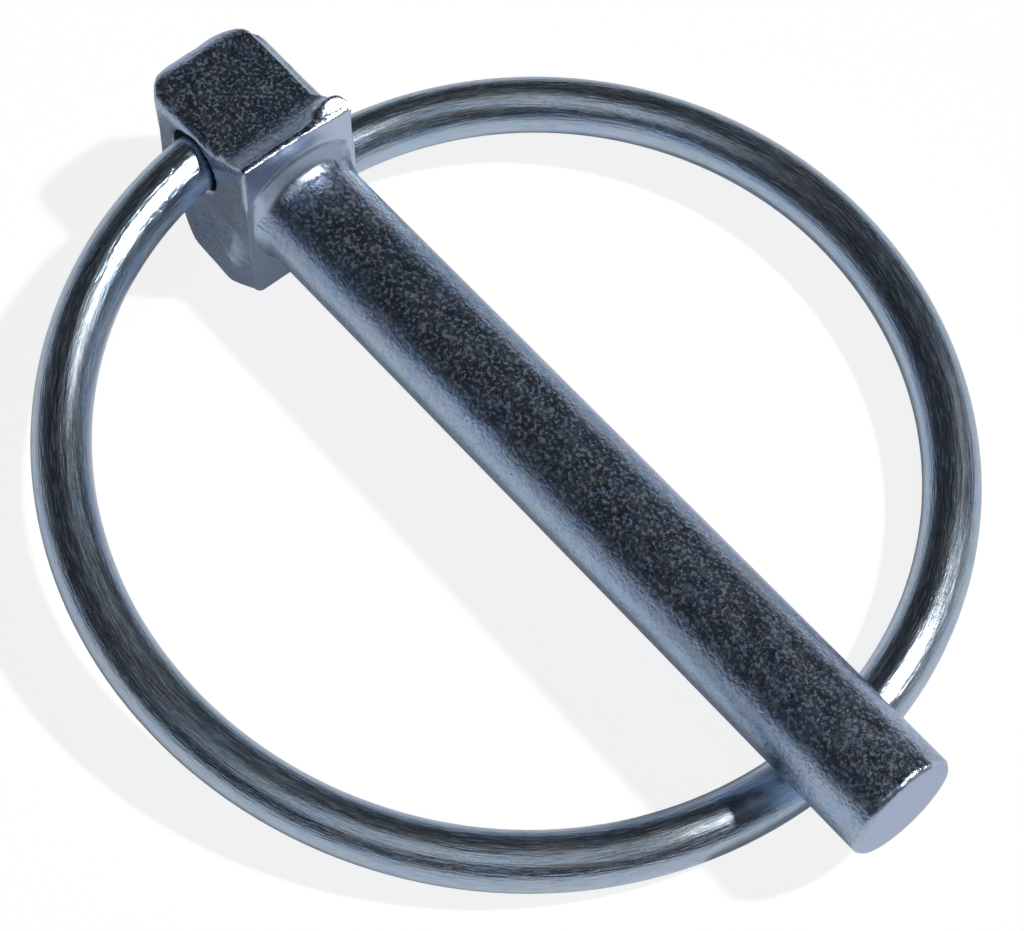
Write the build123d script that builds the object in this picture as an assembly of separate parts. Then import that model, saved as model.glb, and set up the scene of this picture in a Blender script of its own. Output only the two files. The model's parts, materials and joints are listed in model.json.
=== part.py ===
from build123d import *

import os
from math import atan2, degrees, hypot, sqrt

os.makedirs("parts", exist_ok=True)

# Lynch pin: a headed steel pin and a sprung wire ring whose ends sit in the head.
# It is drawn with the shank along +X, the seat of the head at X = 0 and the ring below the shank,
# and is then laid on a flat surface, resting on the ring and on the head's lower edge.

# ---- driving dimensions, millimetres -------------------------------------------------------------
SHANK_RADIUS = 3.0
SHANK_LENGTH = 45.0
TIP_CHAMFER = 0.15
ROOT_RADIUS = 1.1  # fillet where the shank meets the seat

HEAD_WIDTH = 7.0  # along Y
SEAT_HALF_HEIGHT = 5.35  # along Z
HEAD_LENGTH = 9.4  # from the seat to the end of the nose
NOSE_BOW = 1.9  # how far the nose bows out past its corners, seen from above
RIM_THICKNESS = 0.9  # straight edge of the flared seat
FOOT_LENGTH = 0.6  # flat under the seat's lower edge, past the rim
LOBE_TOP = 4.3  # height of the nose's flat top above the shank's axis
NOSE_RADIUS = 1.9
FLARE_RUN = 1.7  # length of the slope from the flared rim down to the flat top
FLANK_BULGE = 0.9  # how far the head's underside bulges
EDGE_RADIUS = 0.8  # softened long edges of the nose

WIRE_RADIUS = 1.5
RING_REACH = 39.3  # from the seat to the wire's centre at the far side of the ring
NEAR_FAR_RADIUS = 22.6  # bend of the far quarter on the -Y side
OTHER_FAR_RADIUS = 22.1  # bend of the far quarter on the +Y side
CONTACT_GAP = 0.02  # between the closed ring and the shank

HOLE_CLEARANCE = 0.35  # radial, so that the ring's ends turn freely
HOLE_DEPTH = 3.2
END_GAP = 0.2  # between a ring end and the bottom of its hole
NEAR_HOLE = (-4.5, 1.8)  # X and Z of the hole in the -Y face
OTHER_HOLE = (-2.6, -2.0)  # X and Z of the hole in the +Y face

# ---- sizes that follow ---------------------------------------------------------------------------
side = HEAD_WIDTH / 2
hole_radius = WIRE_RADIUS + HOLE_CLEARANCE
end_y = side - HOLE_DEPTH + END_GAP  # where each end of the wire stops
ring_drop = SHANK_RADIUS + CONTACT_GAP + WIRE_RADIUS  # wire's centre below the shank's axis
far_point = Vector(RING_REACH, 0, -ring_drop)


def head_profile():
    """Side view of the head in the XZ plane: flared seat, flat top, rounded nose, bulging underside."""
    half = SEAT_HALF_HEIGHT
    heel = -RIM_THICKNESS - FOOT_LENGTH
    nose_foot = NEAR_HOLE[1] - hole_radius - NOSE_RADIUS / 2
    with BuildSketch(Plane.XZ) as section:
        with BuildLine():
            Polyline((heel, -half), (0, -half), (0, half), (-RIM_THICKNESS, half))
            Line((-RIM_THICKNESS, half), (-RIM_THICKNESS - FLARE_RUN, LOBE_TOP))
            Line((-RIM_THICKNESS - FLARE_RUN, LOBE_TOP), (-HEAD_LENGTH, LOBE_TOP))
            Line((-HEAD_LENGTH, LOBE_TOP), (-HEAD_LENGTH, nose_foot))
            SagittaArc((-HEAD_LENGTH, nose_foot), (heel, -half), -FLANK_BULGE)
        make_face()
        top_corner = section.vertices().group_by(Axis.X)[0].sort_by(Axis.Z)[-1]
        fillet(top_corner, NOSE_RADIUS)
    return section.sketch


def head_plan():
    """Top view of the head: parallel sides and a bowed nose."""
    shoulder = NOSE_BOW - HEAD_LENGTH
    with BuildSketch(Plane.XY) as section:
        with BuildLine():
            Polyline((shoulder, -side), (0, -side), (0, side), (shoulder, side))
            ThreePointArc((shoulder, side), (-HEAD_LENGTH, 0), (shoulder, -side))
        make_face()
    return section.sketch


def head():
    """Head blank: the side view with softened edges on the nose, cut to the outline of the top view."""
    blank = extrude(head_profile(), side, both=True)
    nose_edges = [
        edge
        for edge in blank.edges()
        if abs(abs(edge.center().Y) - side) < 0.01 and edge.center().X < -RIM_THICKNESS
    ]
    softened = fillet(nose_edges, EDGE_RADIUS)
    return softened & extrude(head_plan(), 2 * SEAT_HALF_HEIGHT, both=True)


def shank():
    """Round shank from inside the head to the tip, with its root fillet cut to the head's width."""
    rod = Plane.YZ * Cylinder(SHANK_RADIUS, SHANK_LENGTH, align=(Align.CENTER, Align.CENTER, Align.MIN))
    rod = chamfer(rod.edges().sort_by(Axis.X)[-1], TIP_CHAMFER)
    flare = ROOT_RADIUS + SHANK_RADIUS
    with BuildSketch(Plane.XZ) as section:
        with BuildLine():
            Polyline((0, 0), (0, flare))
            RadiusArc((0, flare), (ROOT_RADIUS, SHANK_RADIUS), ROOT_RADIUS)
            Polyline((ROOT_RADIUS, SHANK_RADIUS), (ROOT_RADIUS, 0), (0, 0))
        make_face()
    root = revolve(section.sketch, Axis.X, 360)
    return rod + (root & Box(4 * flare, HEAD_WIDTH, 4 * flare))


def ring_holes():
    """One blind hole in each side of the head, the second lower and nearer the seat."""
    holes = []
    for sign, (x, z) in ((-1, NEAR_HOLE), (1, OTHER_HOLE)):
        middle = sign * (side - HOLE_DEPTH / 2)
        drill = Cylinder(hole_radius, HOLE_DEPTH, rotation=(90, 0, 0))
        holes.append(Pos(x, middle, z) * drill)
    return holes


def ring_half(sign, hole, far_radius):
    """Centre-line of one half of the ring: a far quarter bend, then a bend that ends in its hole."""
    x, z = hole
    run = hypot(far_point.X - x, z - far_point.Z)
    mouth = side - HOLE_DEPTH / 2
    # the closing bend reaches the hole's axis half-way down the hole; a few rounds settle its radius
    near_radius = run - far_radius
    for _ in range(4):
        near_radius = run - far_radius + near_radius - sqrt(near_radius**2 - mouth**2)
    towards_head = Vector(x - far_point.X, 0, z - far_point.Z).normalized()
    across = Vector(0, sign, 0)
    normal = towards_head.cross(across)
    far_centre = far_point + towards_head * far_radius
    turn = far_centre + across * far_radius
    near_centre = turn - across * near_radius
    far_bend = Edge.make_circle(
        far_radius, Plane(far_centre, x_dir=-towards_head, z_dir=-normal), 0, 90
    )
    sweep_angle = 180 - degrees(atan2(end_y, sqrt(near_radius**2 - end_y**2)))
    near_bend = Edge.make_circle(
        near_radius, Plane(near_centre, x_dir=-towards_head, z_dir=-normal), 90, sweep_angle
    )
    return [far_bend, near_bend]


def ring():
    """Sprung wire ring, open inside the head."""
    edges = ring_half(-1, NEAR_HOLE, NEAR_FAR_RADIUS) + ring_half(1, OTHER_HOLE, OTHER_FAR_RADIUS)
    bends = []
    for edge in edges:
        start = Plane(edge @ 0, z_dir=edge % 0)
        bends.append(sweep(start * Circle(WIRE_RADIUS), path=edge))
    whole = bends[0]
    for bend in bends[1:]:
        whole += bend
    return whole


pin = head() + shank()
for hole in ring_holes():
    pin -= hole
wire_ring = ring()

# ---- lay both pieces on the surface, with the middle of their outer box at X = Y = 0 --------------
heel = RIM_THICKNESS + FOOT_LENGTH  # the head rests on the far end of its flat foot
lean = degrees(atan2(ring_drop + WIRE_RADIUS - SEAT_HALF_HEIGHT, RING_REACH + heel))
pieces = {"pin": Rot(0, -lean, 0) * pin, "ring": Rot(0, -lean, 0) * wire_ring}
outer = [piece.bounding_box() for piece in pieces.values()]
low = [min(values) for values in zip(*(tuple(b.min) for b in outer))]
high = [max(values) for values in zip(*(tuple(b.max) for b in outer))]
lay = Pos(-(low[0] + high[0]) / 2, -(low[1] + high[1]) / 2, -low[2])
for name, piece in pieces.items():
    export_step(lay * piece, f"parts/{name}.step")
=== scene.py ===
import json
from math import asin, cos, hypot, pi, radians, sin, sqrt

import bmesh
import bpy
from mathutils import Matrix, Quaternion, Vector, noise


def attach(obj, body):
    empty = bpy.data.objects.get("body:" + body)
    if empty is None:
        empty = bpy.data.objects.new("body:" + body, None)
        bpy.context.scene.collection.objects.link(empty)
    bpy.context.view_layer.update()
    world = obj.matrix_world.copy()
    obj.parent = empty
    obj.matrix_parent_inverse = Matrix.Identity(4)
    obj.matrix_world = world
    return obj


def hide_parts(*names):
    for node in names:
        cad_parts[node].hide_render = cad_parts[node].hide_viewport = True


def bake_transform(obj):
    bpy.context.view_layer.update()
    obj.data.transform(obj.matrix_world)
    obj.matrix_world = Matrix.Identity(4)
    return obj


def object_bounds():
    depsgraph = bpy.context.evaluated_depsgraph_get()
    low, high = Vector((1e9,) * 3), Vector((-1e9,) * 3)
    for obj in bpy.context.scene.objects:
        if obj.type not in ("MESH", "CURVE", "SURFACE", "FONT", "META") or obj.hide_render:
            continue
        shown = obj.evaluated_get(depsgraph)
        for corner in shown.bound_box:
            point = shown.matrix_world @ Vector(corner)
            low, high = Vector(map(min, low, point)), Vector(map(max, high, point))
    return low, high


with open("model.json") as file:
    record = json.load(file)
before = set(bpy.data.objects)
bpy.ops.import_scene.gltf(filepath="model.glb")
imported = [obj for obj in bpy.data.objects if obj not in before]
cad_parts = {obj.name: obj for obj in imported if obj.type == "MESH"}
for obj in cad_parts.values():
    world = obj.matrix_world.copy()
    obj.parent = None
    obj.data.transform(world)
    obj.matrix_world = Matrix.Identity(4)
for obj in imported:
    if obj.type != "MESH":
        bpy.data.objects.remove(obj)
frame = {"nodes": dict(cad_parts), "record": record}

cad_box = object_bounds()

# ---- Pin -----------------------------------------------------------------------------------------
# One piece of steel: a round shank with a head forged on its end, flared to a flat seat.
# The forging leaves soft edges, shallow dents and a thin ragged lip of flash along the seat's
# upper edge. The whole pin is zinc plated and blue passivated over a finely speckled surface.

shank_mount = next(m for m in frame["record"]["mounts"] if m["name"] == "shank")
shank_radius = shank_mount["dims"]["r_mm"] / 1000
shank_length = shank_mount["dims"]["length_mm"] / 1000
along = Vector(shank_mount["axis"])
across = Vector((0, 1, 0))
seat_to_mount = 0.020
seat = Vector(shank_mount["pos_m"]) - seat_to_mount * along
stance = Matrix.Translation(seat) @ Matrix((along, across, along.cross(across))).transposed().to_4x4()

root_radius = 0.0011
head_half_width = 0.0035
seat_half_height = 0.00535
forging_grid = 0.00013


def blank_from_cad():
    """The pin's exact shape as one closed skin, turned so that the shank runs along X from the seat."""
    skin = bmesh.new()
    skin.from_mesh(frame["nodes"]["pin"].data)
    bmesh.ops.remove_doubles(skin, verts=skin.verts, dist=1e-7)
    skin.transform(stance.inverted())
    return skin


def soften(skin, verts, rounds):
    """Relaxes these points towards their neighbours."""
    for _ in range(rounds):
        bmesh.ops.smooth_vert(
            skin, verts=verts, factor=0.5, use_axis_x=True, use_axis_y=True, use_axis_z=True
        )


def add_flash(skin):
    """Ragged lip squeezed out along the seat's upper edge, ending in a curled lump at one corner."""
    strip = bmesh.new()
    bmesh.ops.create_cube(strip, size=1)
    size = Vector((0.00042, 2 * head_half_width, 0.0007))
    bmesh.ops.scale(strip, vec=size, verts=strip.verts)
    top = seat_half_height + 0.00002
    bmesh.ops.translate(strip, vec=(-size.x / 2, 0, top - size.z / 2), verts=strip.verts)
    long_edges = [
        edge for edge in strip.edges if abs(edge.verts[0].co.y - edge.verts[1].co.y) > head_half_width
    ]
    bmesh.ops.subdivide_edges(strip, edges=long_edges, cuts=59, use_grid_fill=True)
    for vert in strip.verts:
        share = vert.co.y / head_half_width
        torn = noise.noise(Vector((0, vert.co.y * 1500, 3.1)))
        finer = noise.noise(Vector((7, vert.co.y * 4200, 0.4)))
        if vert.co.z > seat_half_height - 0.0002:
            vert.co.z += 0.00014 * torn + 0.00009 * finer + 0.00012 * max(0, share)
            vert.co.x -= 0.00022 * max(0, share)
        step = 0.00016 if -0.25 < share < 0.12 else 0
        vert.co.x += 0.00011 * torn + 0.00009 * finer + 0.00006 - step
    lump = bmesh.ops.create_icosphere(strip, subdivisions=3, radius=0.00062)["verts"]
    bmesh.ops.scale(strip, vec=(0.8, 1.25, 0.62), verts=lump)
    corner = (-0.00072, head_half_width - 0.00078, seat_half_height - 0.00012)
    bmesh.ops.translate(strip, vec=corner, verts=lump)
    lip = bpy.data.meshes.new("lip")
    strip.to_mesh(lip)
    strip.free()
    skin.from_mesh(lip)
    bpy.data.meshes.remove(lip)


def root_share(y):
    """The root rounding dies out towards the seat's two straight sides."""
    share = min(1, max(0, (head_half_width - abs(y)) / 0.0010))
    return share * share * (3 - 2 * share)


def forged(skin):
    """Grows the blank and its flash into one evenly gridded skin, then smooths it."""
    mesh = bpy.data.meshes.new("pin_blank")
    skin.to_mesh(mesh)
    skin.free()
    holder = bpy.data.objects.new("pin_blank", mesh)
    bpy.context.scene.collection.objects.link(holder)
    grid = holder.modifiers.new("grid", "REMESH")
    grid.mode = "VOXEL"
    grid.voxel_size = forging_grid
    grown = bpy.data.meshes.new_from_object(holder.evaluated_get(bpy.context.evaluated_depsgraph_get()))
    bpy.data.objects.remove(holder)
    bpy.data.meshes.remove(mesh)
    skin = bmesh.new()
    skin.from_mesh(grown)
    bpy.data.meshes.remove(grown)
    soften(skin, skin.verts, 2)
    for vert in skin.verts:
        x, y, z = vert.co
        rolled = min(1, max(0, 1.4 * y / head_half_width))
        sweep = 0.0043 + 0.00105 * (min(1, max(0, (x + 0.0030) / (0.0027 - 0.0004 * rolled)))) ** 2
        in_lump = x > -0.0015 and y > 0.0015
        if -0.0032 < x < -0.00036 - 0.0004 * rolled and z > sweep and not in_lump:
            vert.co.z = sweep
        front = seat_half_height + 0.00012 - 0.00045 * rolled * max(0, x + 0.00085) / 0.00085
        if rolled > 0 and -0.00085 < x < 0.0003 and z > front:
            vert.co.z = front
        if 0 < x < root_radius and hypot(y, z) > 1.01 * shank_radius:
            vert.co.x = x * root_share(y)
    top_of_head = [v for v in skin.verts if -0.0044 < v.co.x < -0.0004 and v.co.z > 0.0036]
    soften(skin, top_of_head, 5)
    return skin


def dress(skin):
    """Trues the shank, its root and its end face, and leaves the head as the dies left it."""
    skin.normal_update()
    moves = []
    for vert in skin.verts:
        x, y, z = vert.co
        radius = hypot(y, z)
        if x > root_radius and radius > 0.93 * shank_radius:
            worn = 0.000006 * noise.noise(Vector((x * 160, y * 420, z * 420)))
            edge = max(0, x - (shank_length - 0.00022))
            scale = (shank_radius + worn - edge * 0.8) / radius
            moves.append((vert, Vector((min(x, shank_length), y * scale, z * scale))))
        elif x > shank_length - 0.0001:
            moves.append((vert, Vector((shank_length, y, z))))
        elif x > -0.0002 and vert.normal.x > 0.1 and abs(y) < head_half_width - 0.0002:
            rise = min(root_radius, max(0, shank_radius + root_radius - radius))
            root = (root_radius - sqrt(max(0, root_radius**2 - rise**2))) * root_share(y)
            moves.append((vert, Vector((0.3 * x + 0.7 * root, y, z))))
        elif x <= 0.0001:
            hit = 0.00006 * noise.noise(vert.co * 330) + 0.00003 * noise.noise(vert.co * 1100)
            corner = 2 * abs(vert.normal.y) * sqrt(max(0, 1 - vert.normal.y**2))
            behind = min(1, max(0, (-0.0002 - x) / 0.0012)) * min(1, max(0, (x + 0.0068) / 0.0025))
            low = min(1, max(0, (-0.0008 - z) / 0.0025))
            high = min(1, max(0, (z - 0.0018) / 0.0014)) * min(1, max(0, (-0.0012 - x) / 0.0014))
            nose = min(1, max(0, (-0.0068 - x) / 0.0018)) * min(1, max(0, z / 0.002))
            far_side = min(1, max(0, vert.normal.y / 0.4))
            swell = 0.00040 * behind * low - 0.00026 * high * far_side
            place = vert.co + vert.normal * (hit * min(1, max(0, -x / 0.0006)) + swell * corner)
            foot = 1 - 0.6 * min(1, max(0, (-0.0041 - z) / 0.0012))
            place.y += (0.00055 if y > 0 else -0.00055) * behind * low * foot * abs(vert.normal.y)
            place.x -= 0.00016 * nose
            place.z = max(place.z, -seat_half_height)
            moves.append((vert, place))
    for vert, place in moves:
        vert.co = place
    underside = [v for v in skin.verts if -0.0075 < v.co.x < -0.0003 and v.co.z < -0.0022]
    soften(skin, underside, 8)


def burr(skin):
    """Two small raised specks where the cut at the tip left a burr on the upper rim."""
    speck_width = 0.0005
    for angle, height in ((radians(62), 0.00010), (radians(100), 0.00013)):
        spot = Vector((shank_length, shank_radius * cos(angle), shank_radius * sin(angle)))
        for vert in skin.verts:
            reach = (vert.co - spot).length
            if reach < speck_width:
                vert.co += Vector((0.4, cos(angle), sin(angle))) * height * (1 - reach / speck_width)


def mark_smooth_faces(skin):
    """The end face and the seat are smoother than the rest, which the plate's speckle follows. The seat's
    lower value also paints it and the root rounding paler, a painted sheen.
    """
    smooth = skin.verts.layers.float.new("smooth")
    skin.normal_update()
    for vert in skin.verts:
        facing = min(1, max(0, (vert.normal.x - 0.3) / 0.5))
        # The seat's 0.8 picks the plate's painted sheen, a paler zinc standing in for the bright
        # reflection on the seat and root rounding. The end face's 1.0 keeps the tint.
        vert[smooth] = facing * (1.0 if vert.co.x > 0.04 else 0.8)


def zinc_plate(name, tint, grain_size, stretch, depth, dullness, cloudiness, contrast, space):
    """Blue passivated zinc: a clouded blue-grey metal with a fine crystalline speckle.

    stretch draws the speckle out along the first axis of space, which is Object coordinates or an
    attribute's name. depth, dullness, cloudiness and contrast say how far the grains stand out.
    """
    material = bpy.data.materials.new(name)
    material.use_nodes = True
    tree = material.node_tree
    nodes, links = tree.nodes, tree.links
    shader = nodes["Principled BSDF"]
    if space == "Object":
        place = nodes.new("ShaderNodeTexCoord").outputs["Object"]
    else:
        reader = nodes.new("ShaderNodeAttribute")
        reader.attribute_name = space
        place = reader.outputs["Vector"]
    smooth = nodes.new("ShaderNodeAttribute")
    smooth.attribute_name = "smooth"

    def speckle(size, detail, drawn, apart=0.0):
        turn = nodes.new("ShaderNodeMapping")
        turn.inputs["Location"].default_value = (apart, apart, apart)
        turn.inputs["Scale"].default_value = (1 / drawn, 1, 1)
        pattern = nodes.new("ShaderNodeTexNoise")
        pattern.inputs["Scale"].default_value = 1 / size
        pattern.inputs["Detail"].default_value = detail
        pattern.inputs["Roughness"].default_value = 0.62
        links.new(place, turn.inputs["Vector"])
        links.new(turn.outputs["Vector"], pattern.inputs["Vector"])
        return pattern.outputs["Fac"]

    def ramp(source, stops):
        band = nodes.new("ShaderNodeValToRGB")
        links.new(source, band.inputs["Fac"])
        band.color_ramp.elements[0].position = stops[0][0]
        band.color_ramp.elements[0].color = (*stops[0][1], 1)
        band.color_ramp.elements[1].position = stops[-1][0]
        band.color_ramp.elements[1].color = (*stops[-1][1], 1)
        for position, colour in stops[1:-1]:
            band.color_ramp.elements.new(position).color = (*colour, 1)
        return band.outputs["Color"]

    def mix(kind, share, first, second):
        blend = nodes.new("ShaderNodeMix")
        blend.data_type = "RGBA"
        blend.blend_type = kind
        if isinstance(share, float):
            blend.inputs[0].default_value = share
        else:
            links.new(share, blend.inputs[0])
        for socket, value in ((blend.inputs[6], first), (blend.inputs[7], second)):
            if isinstance(value, tuple):
                socket.default_value = (*value, 1)
            else:
                links.new(value, socket)
        return blend.outputs[2]

    def grey(value):
        return (value, value, value)

    fine = speckle(grain_size, 3.0, stretch)
    coarse = speckle(grain_size * 4, 2.0, stretch * 1.6)
    cloud = speckle(0.0028, 2.0, 1.5)
    stain = speckle(grain_size * 3, 2.0, stretch, 0.4)
    dark = tuple((1 - contrast) * c for c in tint)
    pale = tuple(min(1.0, (1 + 0.5 * contrast) * c) for c in tint)
    crystal = ramp(fine, [(0.38, dark), (0.50, tint), (0.62, pale)])
    warm = ramp(cloud, [(0.38, (0.90, 0.95, 1.0)), (0.52, (1.0, 1.0, 0.98)), (0.68, (1.0, 0.95, 0.88))])
    fleck = ramp(
        stain,
        [
            (0.32, (0.72, 0.86, 1.0)),
            (0.46, (0.86, 1.0, 0.92)),
            (0.56, (1.0, 0.93, 0.80)),
            (0.70, (0.92, 0.96, 1.0)),
        ],
    )
    toned = mix("MULTIPLY", 0.6, mix("MULTIPLY", 0.5, crystal, warm), fleck)
    # Unspeckled colour for the smooth faces. The seat and root rounding get a painted sheen, a paler zinc
    # that stands in for the bright reflection they catch. The end face keeps the tint.
    painted_sheen = tuple(c**0.7 for c in tint)
    plain = ramp(smooth.outputs["Fac"], [(0.0, painted_sheen), (0.8, painted_sheen), (1.0, tint)])
    links.new(mix("MIX", smooth.outputs["Fac"], toned, plain), shader.inputs["Base Color"])
    milky = ramp(fine, [(0.51, grey(1.0)), (0.63, grey(cloudiness))])
    links.new(mix("MIX", smooth.outputs["Fac"], milky, grey(0.96)), shader.inputs["Metallic"])
    dull = ramp(coarse, [(0.30, grey(dullness * 0.75)), (0.70, grey(dullness * 1.25))])
    links.new(mix("MIX", smooth.outputs["Fac"], dull, grey(0.36)), shader.inputs["Roughness"])

    relief = nodes.new("ShaderNodeMath")
    relief.operation = "MULTIPLY_ADD"
    relief.inputs[1].default_value = -0.85
    relief.inputs[2].default_value = 1.0
    links.new(smooth.outputs["Fac"], relief.inputs[0])
    waves = nodes.new("ShaderNodeBump")
    waves.inputs["Distance"].default_value = grain_size * depth
    links.new(relief.outputs[0], waves.inputs["Strength"])
    links.new(coarse, waves.inputs["Height"])
    shallow = nodes.new("ShaderNodeBump")
    shallow.inputs["Distance"].default_value = grain_size * depth * 0.8
    links.new(relief.outputs[0], shallow.inputs["Strength"])
    links.new(fine, shallow.inputs["Height"])
    links.new(waves.outputs["Normal"], shallow.inputs["Normal"])
    links.new(shallow.outputs["Normal"], shader.inputs["Normal"])
    return material


def finished(name, skin, material):
    """Puts a skin into the scene as one smooth-shaded piece in the frame's own place."""
    bmesh.ops.recalc_face_normals(skin, faces=skin.faces)
    for face in skin.faces:
        face.smooth = True
    skin.transform(stance)
    mesh = bpy.data.meshes.new(name)
    skin.to_mesh(mesh)
    skin.free()
    mesh.materials.append(material)
    piece = bpy.data.objects.new(name, mesh)
    bpy.context.scene.collection.objects.link(piece)
    return piece


skin = blank_from_cad()
add_flash(skin)
skin = forged(skin)
dress(skin)
burr(skin)
mark_smooth_faces(skin)
plated_steel = zinc_plate(
    "plated_steel",
    tint=(0.47, 0.56, 0.76),
    grain_size=0.00020,
    stretch=1.1,
    depth=0.21,
    dullness=0.25,
    cloudiness=0.75,
    contrast=0.22,
    space="Object",
)
forged_pin = finished("forged_pin", skin, plated_steel)
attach(forged_pin, "pin")
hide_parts("pin")

# ---- Ring ----------------------------------------------------------------------------------------
# Round spring wire bent into an open ring, its two ends sprung into the blind holes in the head.
# The holes are out of line, so the two halves leave the far side at slightly different slopes.
# Drawing the wire has left fine streaks along it, under the same zinc plate.

wire_radius = 0.0015
contact_gap = 0.00002
ring_reach = 0.0393
end_slack = 0.0002
ring_drop = shank_radius + contact_gap + wire_radius
hole_depth = 0.0032
hole_middle = head_half_width - hole_depth / 2
wire_end = head_half_width - hole_depth + end_slack
near_half = {"side": -1, "hole": (-0.0045, 0.0018), "far_radius": 0.0226}
other_half = {"side": 1, "hole": (-0.0026, -0.0020), "far_radius": 0.0221}
bend_step = radians(2)


def bend(skin, reel, edges, centre, axis, angle, radius, travelled):
    """Carries a loop of edges round an axis in even steps, noting the wire's length on each loop."""
    steps = round(angle / bend_step)
    turn = Matrix.Rotation(angle / steps, 3, axis)
    for _ in range(steps):
        grown = bmesh.ops.extrude_edge_only(skin, edges=edges)["geom"]
        verts = [g for g in grown if isinstance(g, bmesh.types.BMVert)]
        fresh = set(verts)
        edges = [
            g for g in grown if isinstance(g, bmesh.types.BMEdge) and set(g.verts) <= fresh
        ]
        bmesh.ops.rotate(skin, verts=verts, cent=centre, matrix=turn)
        travelled += radius * angle / steps
        for vert in verts:
            vert[reel].x = travelled
    return edges, travelled


skin = bmesh.new()
reel = skin.verts.layers.float_vector.new("reel")
far_point = Vector((ring_reach, 0, -ring_drop))
upright = Matrix.Translation(far_point) @ Matrix.Rotation(pi / 2, 4, "X")
first_loop = bmesh.ops.create_circle(skin, cap_ends=False, segments=48, radius=wire_radius, matrix=upright)
for vert in first_loop["verts"]:
    offset = vert.co - far_point
    vert[reel] = Vector((0, offset.x, offset.z))
first_edges = list(skin.edges)

for half in (near_half, other_half):
    hole = Vector((half["hole"][0], 0, half["hole"][1]))
    run = (hole - far_point).length
    towards_head = (hole - far_point).normalized()
    sideways = Vector((0, half["side"], 0))
    near_radius = run - half["far_radius"]
    for _ in range(4):
        near_radius = run - half["far_radius"] + near_radius - sqrt(near_radius**2 - hole_middle**2)
    far_centre = far_point + towards_head * half["far_radius"]
    near_centre = far_centre + sideways * (half["far_radius"] - near_radius)
    turning = sideways.cross(towards_head)
    closing = pi / 2 - asin(wire_end / near_radius)
    edges, length = bend(skin, reel, first_edges, far_centre, turning, pi / 2, half["far_radius"], 0)
    edges, length = bend(skin, reel, edges, near_centre, turning, closing, near_radius, length)
    bmesh.ops.contextual_create(skin, geom=edges)

drawn_wire = zinc_plate(
    "drawn_wire",
    tint=(0.52, 0.61, 0.78),
    grain_size=0.00009,
    stretch=11.0,
    depth=0.28,
    dullness=0.24,
    cloudiness=0.90,
    contrast=0.16,
    space="reel",
)
sprung_ring = finished("sprung_ring", skin, drawn_wire)
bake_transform(sprung_ring)
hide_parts("ring")

# ---- Floor ---------------------------------------------------------------------------------------
# A wide pale sheet that the part lies on, matt and without a seam or an edge in sight.
# It is lifted to white where it is seen, a little where metal mirrors it, and keeps the shadow.

floor_half_width = 3.0
floor_gap = 0.00002
floor_skin = bmesh.new()
bmesh.ops.create_grid(floor_skin, x_segments=1, y_segments=1, size=floor_half_width)
bmesh.ops.translate(floor_skin, vec=(0, 0, cad_box[0][2] - floor_gap), verts=floor_skin.verts)
floor_mesh = bpy.data.meshes.new("floor")
floor_skin.to_mesh(floor_mesh)
floor_skin.free()
floor = bpy.data.objects.new("floor", floor_mesh)
bpy.context.scene.collection.objects.link(floor)
paper = bpy.data.materials.new("paper")
paper.use_nodes = True
nodes, links = paper.node_tree.nodes, paper.node_tree.links
matt = nodes["Principled BSDF"]
matt.inputs["Base Color"].default_value = (0.86, 0.88, 0.91, 1)
matt.inputs["Roughness"].default_value = 1.0
matt.inputs["Specular IOR Level"].default_value = 0.0
white = nodes.new("ShaderNodeEmission")
white.inputs["Strength"].default_value = 1.12
ray = nodes.new("ShaderNodeLightPath")
mirrored = nodes.new("ShaderNodeMath")
mirrored.operation = "ADD"
links.new(ray.outputs["Is Glossy Ray"], mirrored.inputs[0])
links.new(ray.outputs["Is Transmission Ray"], mirrored.inputs[1])
dimmed = nodes.new("ShaderNodeMath")
dimmed.operation = "MULTIPLY"
dimmed.inputs[1].default_value = 0.10
links.new(mirrored.outputs[0], dimmed.inputs[0])
share = nodes.new("ShaderNodeMath")
share.operation = "MULTIPLY_ADD"
share.inputs[1].default_value = 0.76
links.new(ray.outputs["Is Camera Ray"], share.inputs[0])
links.new(dimmed.outputs[0], share.inputs[2])
lifted = nodes.new("ShaderNodeMixShader")
links.new(share.outputs[0], lifted.inputs[0])
links.new(matt.outputs[0], lifted.inputs[1])
links.new(white.outputs[0], lifted.inputs[2])
links.new(lifted.outputs[0], nodes["Material Output"].inputs["Surface"])
floor_mesh.materials.append(paper)

# ---- Light ---------------------------------------------------------------------------------------
# A dim grey ceiling over a bright horizon, with one soft panel overhead on the tip's near side.
# A warm lamp stands to the shank's far side. The camera sees white instead of the ceiling.

world = bpy.data.worlds.new("studio")
bpy.context.scene.world = world
world.use_nodes = True
nodes, links = world.node_tree.nodes, world.node_tree.links
background = nodes["Background"]
direction = nodes.new("ShaderNodeTexCoord")
parts = nodes.new("ShaderNodeSeparateXYZ")
height = nodes.new("ShaderNodeValToRGB")
glow_direction = Vector((0.30, -0.26, 0.92)).normalized()
lamp_direction = Vector((0.36, 0.47, 0.806))
sky = [
    (0.00, (0.80, 0.86, 0.94)),
    (0.03, (0.40, 0.46, 0.54)),
    (0.10, (0.080, 0.089, 0.104)),
    (0.40, (0.030, 0.032, 0.037)),
    (1.00, (0.019, 0.020, 0.023)),
]
height.color_ramp.elements[0].color = (*sky[0][1], 1)
height.color_ramp.elements[1].color = (*sky[-1][1], 1)
for position, colour in sky[1:-1]:
    height.color_ramp.elements.new(position).color = (*colour, 1)
links.new(direction.outputs["Generated"], parts.inputs[0])
links.new(parts.outputs["Z"], height.inputs["Fac"])
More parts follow.
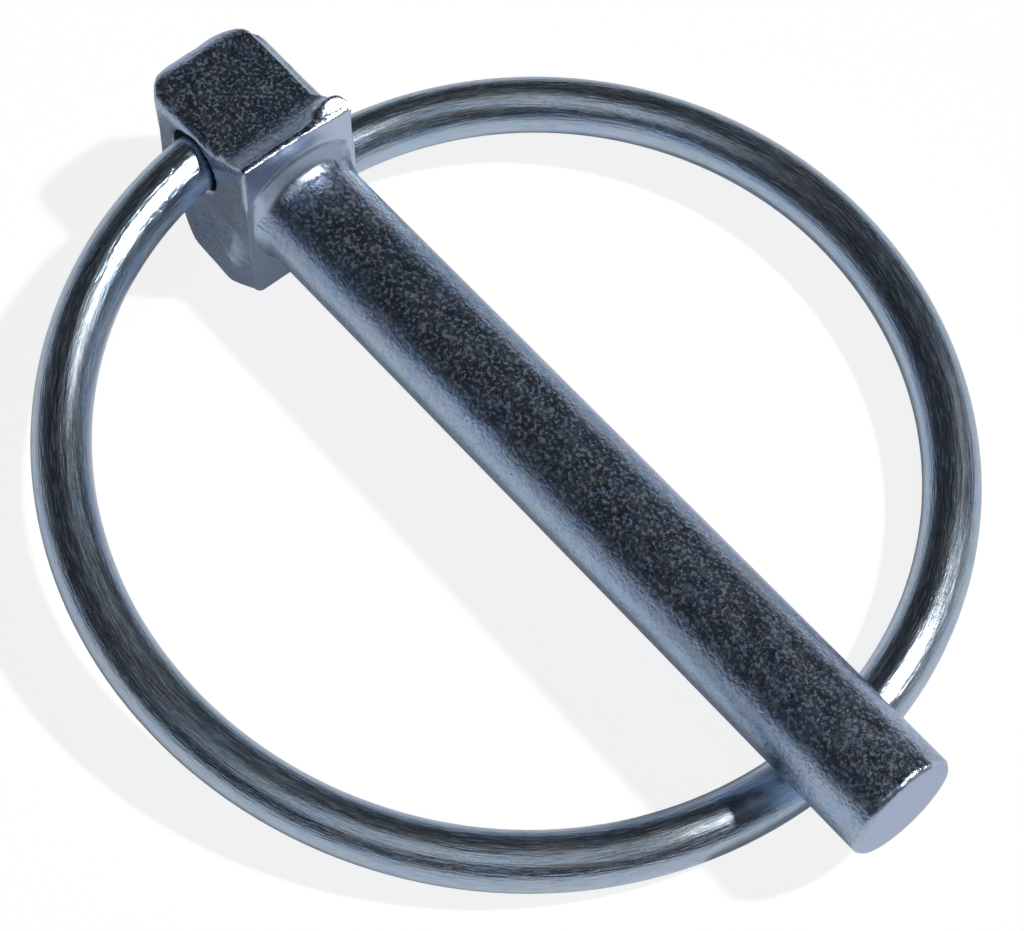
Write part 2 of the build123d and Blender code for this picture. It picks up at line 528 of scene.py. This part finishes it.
towards = nodes.new("ShaderNodeVectorMath")
towards.operation = "DOT_PRODUCT"
towards.inputs[1].default_value = glow_direction
links.new(direction.outputs["Generated"], towards.inputs[0])
glow = nodes.new("ShaderNodeMapRange")
glow.interpolation_type = "SMOOTHSTEP"
glow.inputs["From Min"].default_value = 0.90
glow.inputs["From Max"].default_value = 0.99
links.new(towards.outputs["Value"], glow.inputs["Value"])
lit = nodes.new("ShaderNodeMix")
lit.data_type = "RGBA"
lit.inputs[7].default_value = (0.62, 0.64, 0.66, 1)
links.new(glow.outputs["Result"], lit.inputs[0])
links.new(height.outputs["Color"], lit.inputs[6])
ray = nodes.new("ShaderNodeLightPath")
seen = nodes.new("ShaderNodeMix")
seen.data_type = "RGBA"
seen.inputs[7].default_value = (1, 1, 1, 1)
links.new(ray.outputs["Is Camera Ray"], seen.inputs[0])
links.new(lit.outputs[2], seen.inputs[6])
links.new(seen.outputs[2], background.inputs["Color"])

lamp_data = bpy.data.lights.new("lamp", "SUN")
lamp_data.energy = 2.4
lamp_data.color = (1.0, 0.97, 0.93)
lamp_data.angle = radians(3)
lamp = bpy.data.objects.new("lamp", lamp_data)
lamp.rotation_euler = lamp_direction.to_track_quat("Z", "Y").to_euler()
bpy.context.scene.collection.objects.link(lamp)

# ---- Camera --------------------------------------------------------------------------------------
# It looks steeply down on the part from beside the tip, through a long lens.
# The shank runs down to the right, and the head is at the upper left.

turned, raised, rolled = radians(48.0), radians(59.6), radians(2.2)
aim = Vector((0.00103, -0.00143, 0.0050))
distance = 0.15887
back = Vector((sin(turned) * cos(raised), -cos(turned) * cos(raised), sin(raised)))
camera_data = bpy.data.cameras.new("camera")
camera_data.lens = 112.8
camera_data.clip_start = 0.005
camera = bpy.data.objects.new("camera", camera_data)
camera.location = aim + distance * back
camera.rotation_euler = (back.to_track_quat("Z", "Y") @ Quaternion((0, 0, 1), rolled)).to_euler()
bpy.context.scene.collection.objects.link(camera)
bpy.context.scene.camera = camera
bpy.context.scene.view_settings.view_transform = "Standard"
